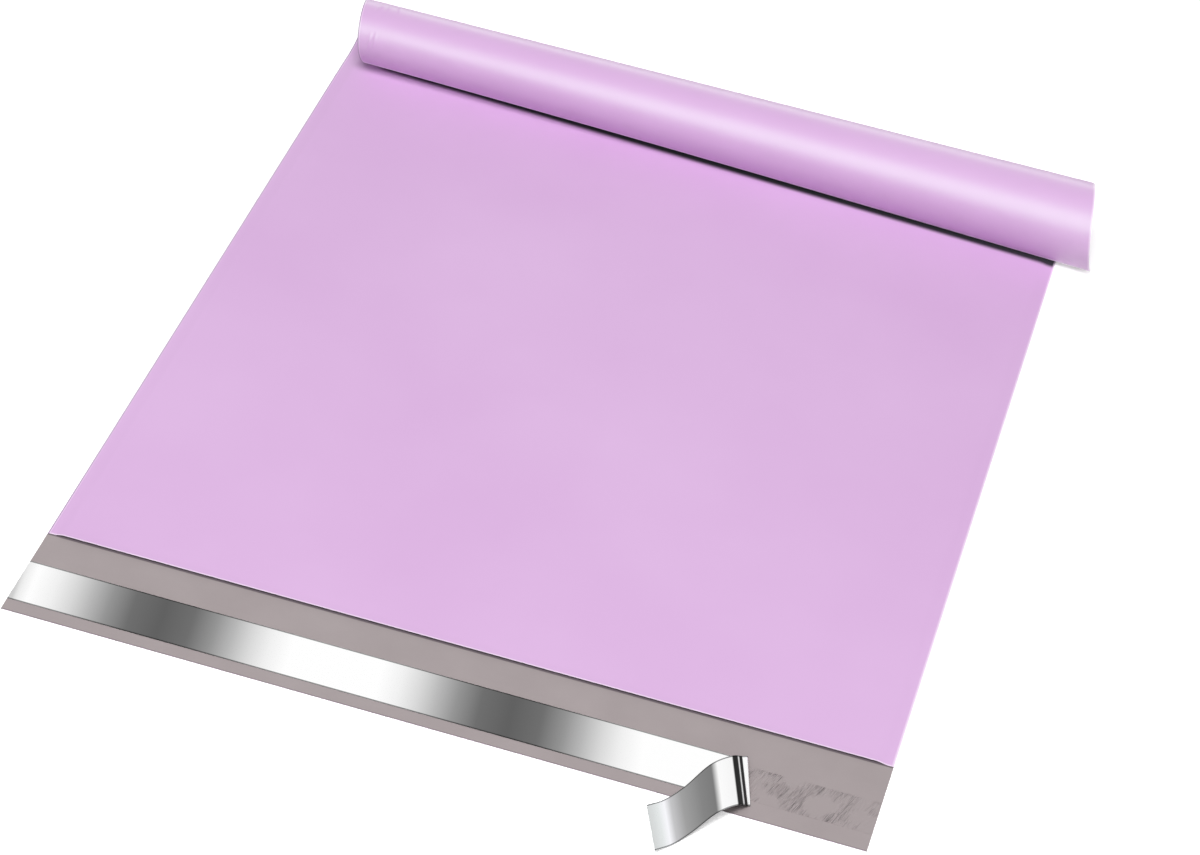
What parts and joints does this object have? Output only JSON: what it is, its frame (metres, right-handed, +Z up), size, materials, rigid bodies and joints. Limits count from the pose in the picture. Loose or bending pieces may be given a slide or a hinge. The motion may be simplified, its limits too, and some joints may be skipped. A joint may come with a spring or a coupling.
{
  "type": "poly mailer bag",
  "caption": "Flat film mailing bag with an open mouth, a sealing flap with half peeled release liner, and its closed end curled over.",
  "frame": {"origin": "middle of the mouth, on the outer face of the back panel, which lies on the table", "axes": "+X along the mouth to the right, +Y from the mouth to the closed end, +Z up from the table, out of the front panel"},
  "size_m": [0.3853, 0.4854, 0.0379],
  "materials": {
    "pouch_film": "satin",
    "seal_adhesive": "glossy",
    "liner_film": "mirror-like silver"
  },
  "bodies": {
    "root": {"film_pouch": "pouch_film", "adhesive_strip": "seal_adhesive", "release_liner": "liner_film"}
  },
  "joints": []
}
